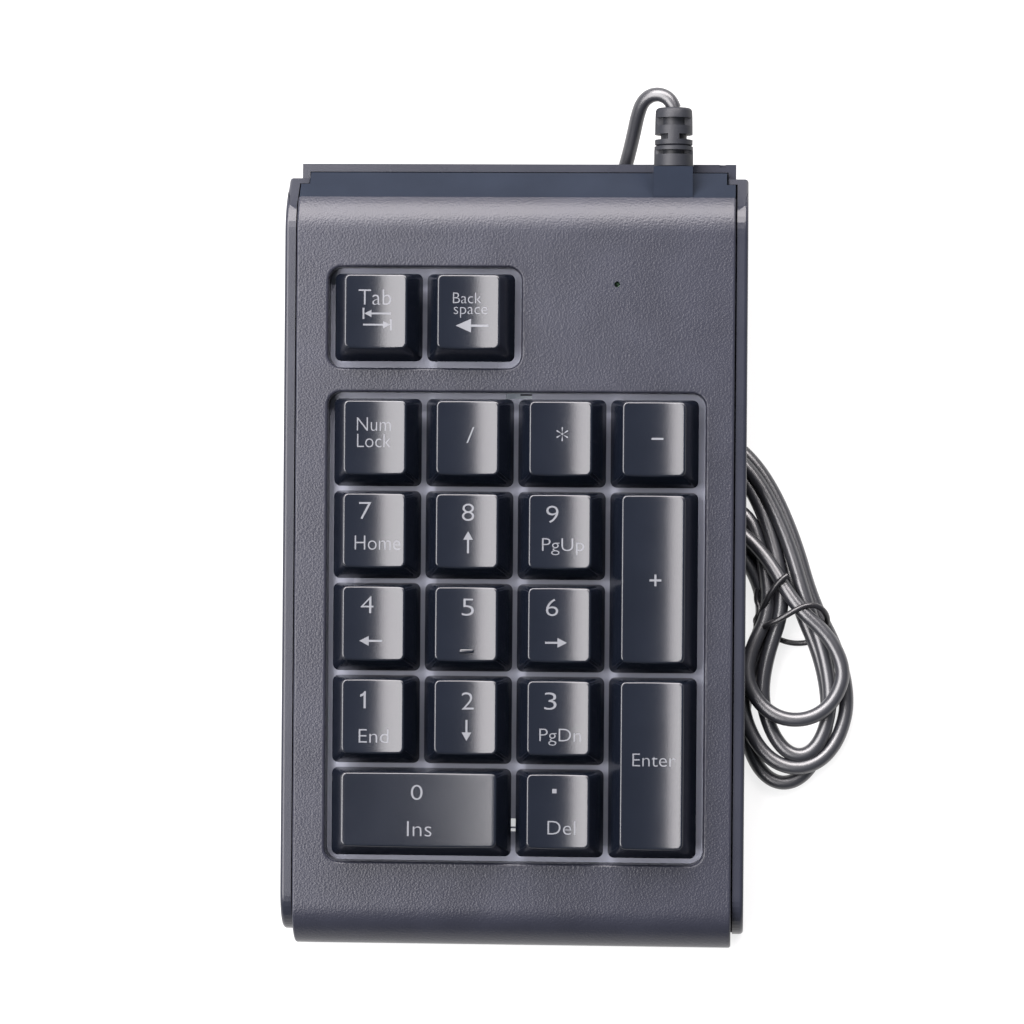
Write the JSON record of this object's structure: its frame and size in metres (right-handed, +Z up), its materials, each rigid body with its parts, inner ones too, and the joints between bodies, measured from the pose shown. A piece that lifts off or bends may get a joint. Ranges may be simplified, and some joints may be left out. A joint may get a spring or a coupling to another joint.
{
  "type": "numeric keypad",
  "caption": "Wired numeric keypad with sprung dished keys in recessed wells, rolled case ends, flip-out rear feet and a cord tied in a loose hank.",
  "frame": {"origin": "centre of the housing's footprint on the desk, at desk height", "axes": "+X to the right of the user, +Y away from the user towards the cord, +Z up from the desk"},
  "size_m": [0.1199, 0.178, 0.0322],
  "materials": {
    "cover_textured": "fine spark-eroded grain",
    "shell_smooth": "satin",
    "panel_dark": "satin",
    "bed_grey": "smooth",
    "keycap_black": "semi gloss",
    "silicone_white": "matt silicone",
    "membrane_film": "clear polyester film",
    "board_green": "solder mask",
    "chip_black": "moulded epoxy",
    "lamp_clear": "clear epoxy",
    "connector_white": "moulded nylon",
    "bar_grey": "moulded",
    "screw_steel": "zinc plated",
    "wire_steel": "drawn spring wire",
    "lead_insulation": "PVC insulation",
    "rubber_black": "matt",
    "relief_black": "moulded PVC",
    "cord_black": "glossy PVC",
    "tie_black": "PVC over wire",
    "plug_black": "moulded PVC",
    "plug_metal": "nickel plate",
    "tongue_white": "moulded",
    "label_silver": "blank foil label"
  },
  "bodies": {
    "case": {"base_shell": "shell_smooth", "rating_label": "label_silver", "top_cover": "cover_textured", "rear_panel": "panel_dark", "key_bed": "bed_grey", "membrane_sheet": "membrane_film", "dome_sheet": "silicone_white", "controller_board": "board_green", "controller_chip": "chip_black", "status_led": "lamp_clear", "cable_connector": "connector_white", "pressure_bar": "bar_grey", "board_screws": "screw_steel", "inner_leads": "lead_insulation", "case_screws": "screw_steel", "front_pads": "rubber_black", "strain_relief": "relief_black", "cord_lead_in": "cord_black", "cord_hank": "cord_black", "twist_tie": "tie_black", "cord_lead_out": "cord_black", "plug_body": "plug_black", "plug_shell": "plug_metal", "plug_tongue": "tongue_white"},
    "key_tab": {"key_tab": "keycap_black"},
    "key_backspace": {"key_backspace": "keycap_black"},
    "key_num_lock": {"key_num_lock": "keycap_black"},
    "key_divide": {"key_divide": "keycap_black"},
    "key_multiply": {"key_multiply": "keycap_black"},
    "key_minus": {"key_minus": "keycap_black"},
    "key_7": {"key_7": "keycap_black"},
    "key_8": {"key_8": "keycap_black"},
    "key_9": {"key_9": "keycap_black"},
    "key_4": {"key_4": "keycap_black"},
    "key_5": {"key_5": "keycap_black"},
    "key_6": {"key_6": "keycap_black"},
    "key_1": {"key_1": "keycap_black"},
    "key_2": {"key_2": "keycap_black"},
    "key_3": {"key_3": "keycap_black"},
    "key_decimal": {"key_decimal": "keycap_black"},
    "key_plus": {"key_plus": "keycap_black"},
    "key_enter": {"key_enter": "keycap_black"},
    "key_0": {"key_0": "keycap_black"},
    "stabiliser_plus": {"stabiliser_plus": "wire_steel"},
    "stabiliser_enter": {"stabiliser_enter": "wire_steel"},
    "stabiliser_0": {"stabiliser_0": "wire_steel"},
    "flip_foot_left": {"flip_foot_left": "shell_smooth", "foot_tip_left": "rubber_black"},
    "flip_foot_right": {"flip_foot_right": "shell_smooth", "foot_tip_right": "rubber_black"}
  },
  "joints": [
    {"name": "key_tab_press", "type": "slide", "parent": "case", "child": "key_tab", "axis": [0, -0.0785, 0.9969], "range_m": [-0.0035, 0], "stiffness_N_per_m": 150, "springref_m": 0.0012, "deforming": ["dome_sheet"]},
    {"name": "key_backspace_press", "type": "slide", "parent": "case", "child": "key_backspace", "axis": [0, -0.0785, 0.9969], "range_m": [-0.0035, 0], "stiffness_N_per_m": 150, "springref_m": 0.0012, "deforming": ["dome_sheet"]},
    {"name": "key_num_lock_press", "type": "slide", "parent": "case", "child": "key_num_lock", "axis": [0, -0.0785, 0.9969], "range_m": [-0.0035, 0], "stiffness_N_per_m": 150, "springref_m": 0.0012, "deforming": ["dome_sheet"]},
    {"name": "key_divide_press", "type": "slide", "parent": "case", "child": "key_divide", "axis": [0, -0.0785, 0.9969], "range_m": [-0.0035, 0], "stiffness_N_per_m": 150, "springref_m": 0.0012, "deforming": ["dome_sheet"]},
    {"name": "key_multiply_press", "type": "slide", "parent": "case", "child": "key_multiply", "axis": [0, -0.0785, 0.9969], "range_m": [-0.0035, 0], "stiffness_N_per_m": 150, "springref_m": 0.0012, "deforming": ["dome_sheet"]},
    {"name": "key_minus_press", "type": "slide", "parent": "case", "child": "key_minus", "axis": [0, -0.0785, 0.9969], "range_m": [-0.0035, 0], "stiffness_N_per_m": 150, "springref_m": 0.0012, "deforming": ["dome_sheet"]},
    {"name": "key_7_press", "type": "slide", "parent": "case", "child": "key_7", "axis": [0, -0.0785, 0.9969], "range_m": [-0.0035, 0], "stiffness_N_per_m": 150, "springref_m": 0.0012, "deforming": ["dome_sheet"]},
    {"name": "key_8_press", "type": "slide", "parent": "case", "child": "key_8", "axis": [0, -0.0785, 0.9969], "range_m": [-0.0035, 0], "stiffness_N_per_m": 150, "springref_m": 0.0012, "deforming": ["dome_sheet"]},
    {"name": "key_9_press", "type": "slide", "parent": "case", "child": "key_9", "axis": [0, -0.0785, 0.9969], "range_m": [-0.0035, 0], "stiffness_N_per_m": 150, "springref_m": 0.0012, "deforming": ["dome_sheet"]},
    {"name": "key_4_press", "type": "slide", "parent": "case", "child": "key_4", "axis": [0, -0.0785, 0.9969], "range_m": [-0.0035, 0], "stiffness_N_per_m": 150, "springref_m": 0.0012, "deforming": ["dome_sheet"]},
    {"name": "key_5_press", "type": "slide", "parent": "case", "child": "key_5", "axis": [0, -0.0785, 0.9969], "range_m": [-0.0035, 0], "stiffness_N_per_m": 150, "springref_m": 0.0012, "deforming": ["dome_sheet"]},
    {"name": "key_6_press", "type": "slide", "parent": "case", "child": "key_6", "axis": [0, -0.0785, 0.9969], "range_m": [-0.0035, 0], "stiffness_N_per_m": 150, "springref_m": 0.0012, "deforming": ["dome_sheet"]},
    {"name": "key_1_press", "type": "slide", "parent": "case", "child": "key_1", "axis": [0, -0.0785, 0.9969], "range_m": [-0.0035, 0], "stiffness_N_per_m": 150, "springref_m": 0.0012, "deforming": ["dome_sheet"]},
    {"name": "key_2_press", "type": "slide", "parent": "case", "child": "key_2", "axis": [0, -0.0785, 0.9969], "range_m": [-0.0035, 0], "stiffness_N_per_m": 150, "springref_m": 0.0012, "deforming": ["dome_sheet"]},
    {"name": "key_3_press", "type": "slide", "parent": "case", "child": "key_3", "axis": [0, -0.0785, 0.9969], "range_m": [-0.0035, 0], "stiffness_N_per_m": 150, "springref_m": 0.0012, "deforming": ["dome_sheet"]},
    {"name": "key_decimal_press", "type": "slide", "parent": "case", "child": "key_decimal", "axis": [0, -0.0785, 0.9969], "range_m": [-0.0035, 0], "stiffness_N_per_m": 150, "springref_m": 0.0012, "deforming": ["dome_sheet"]},
    {"name": "key_plus_press", "type": "slide", "parent": "case", "child": "key_plus", "axis": [0, -0.0785, 0.9969], "range_m": [-0.0035, 0], "stiffness_N_per_m": 150, "springref_m": 0.0012, "deforming": ["dome_sheet"]},
    {"name": "key_enter_press", "type": "slide", "parent": "case", "child": "key_enter", "axis": [0, -0.0785, 0.9969], "range_m": [-0.0035, 0], "stiffness_N_per_m": 150, "springref_m": 0.0012, "deforming": ["dome_sheet"]},
    {"name": "key_0_press", "type": "slide", "parent": "case", "child": "key_0", "axis": [0, -0.0785, 0.9969], "range_m": [-0.0035, 0], "stiffness_N_per_m": 150, "springref_m": 0.0012, "deforming": ["dome_sheet"]},
    {"name": "stabiliser_plus_swing", "type": "hinge", "parent": "case", "child": "stabiliser_plus", "pos_m": [0.03417, -0.00633, 0.01822], "axis": [0, 0.9969, 0.0785], "range_deg": [-25.2, 0]},
    {"name": "stabiliser_enter_swing", "type": "hinge", "parent": "case", "child": "stabiliser_enter", "pos_m": [0.03417, -0.04431, 0.01523], "axis": [0, 0.9969, 0.0785], "range_deg": [-25.2, 0]},
    {"name": "stabiliser_0_swing", "type": "hinge", "parent": "case", "child": "stabiliser_0", "pos_m": [-0.01865, -0.05899, 0.01408], "axis": [1, 0, 0], "range_deg": [-25.2, 0]},
    {"name": "flip_foot_left_fold", "type": "hinge", "parent": "case", "child": "flip_foot_left", "pos_m": [-0.029, 0.06304, 0.01335], "axis": [1, 0, 0], "range_deg": [0, 100]},
    {"name": "flip_foot_right_fold", "type": "hinge", "parent": "case", "child": "flip_foot_right", "pos_m": [0.029, 0.06304, 0.01335], "axis": [1, 0, 0], "range_deg": [0, 100]}
  ],
  "couplings": [
    {"joint": "stabiliser_plus_swing", "follows": "key_plus_press", "rad_per_m": 124.6},
    {"joint": "stabiliser_enter_swing", "follows": "key_enter_press", "rad_per_m": 124.6},
    {"joint": "stabiliser_0_swing", "follows": "key_0_press", "rad_per_m": 124.6}
  ]
}
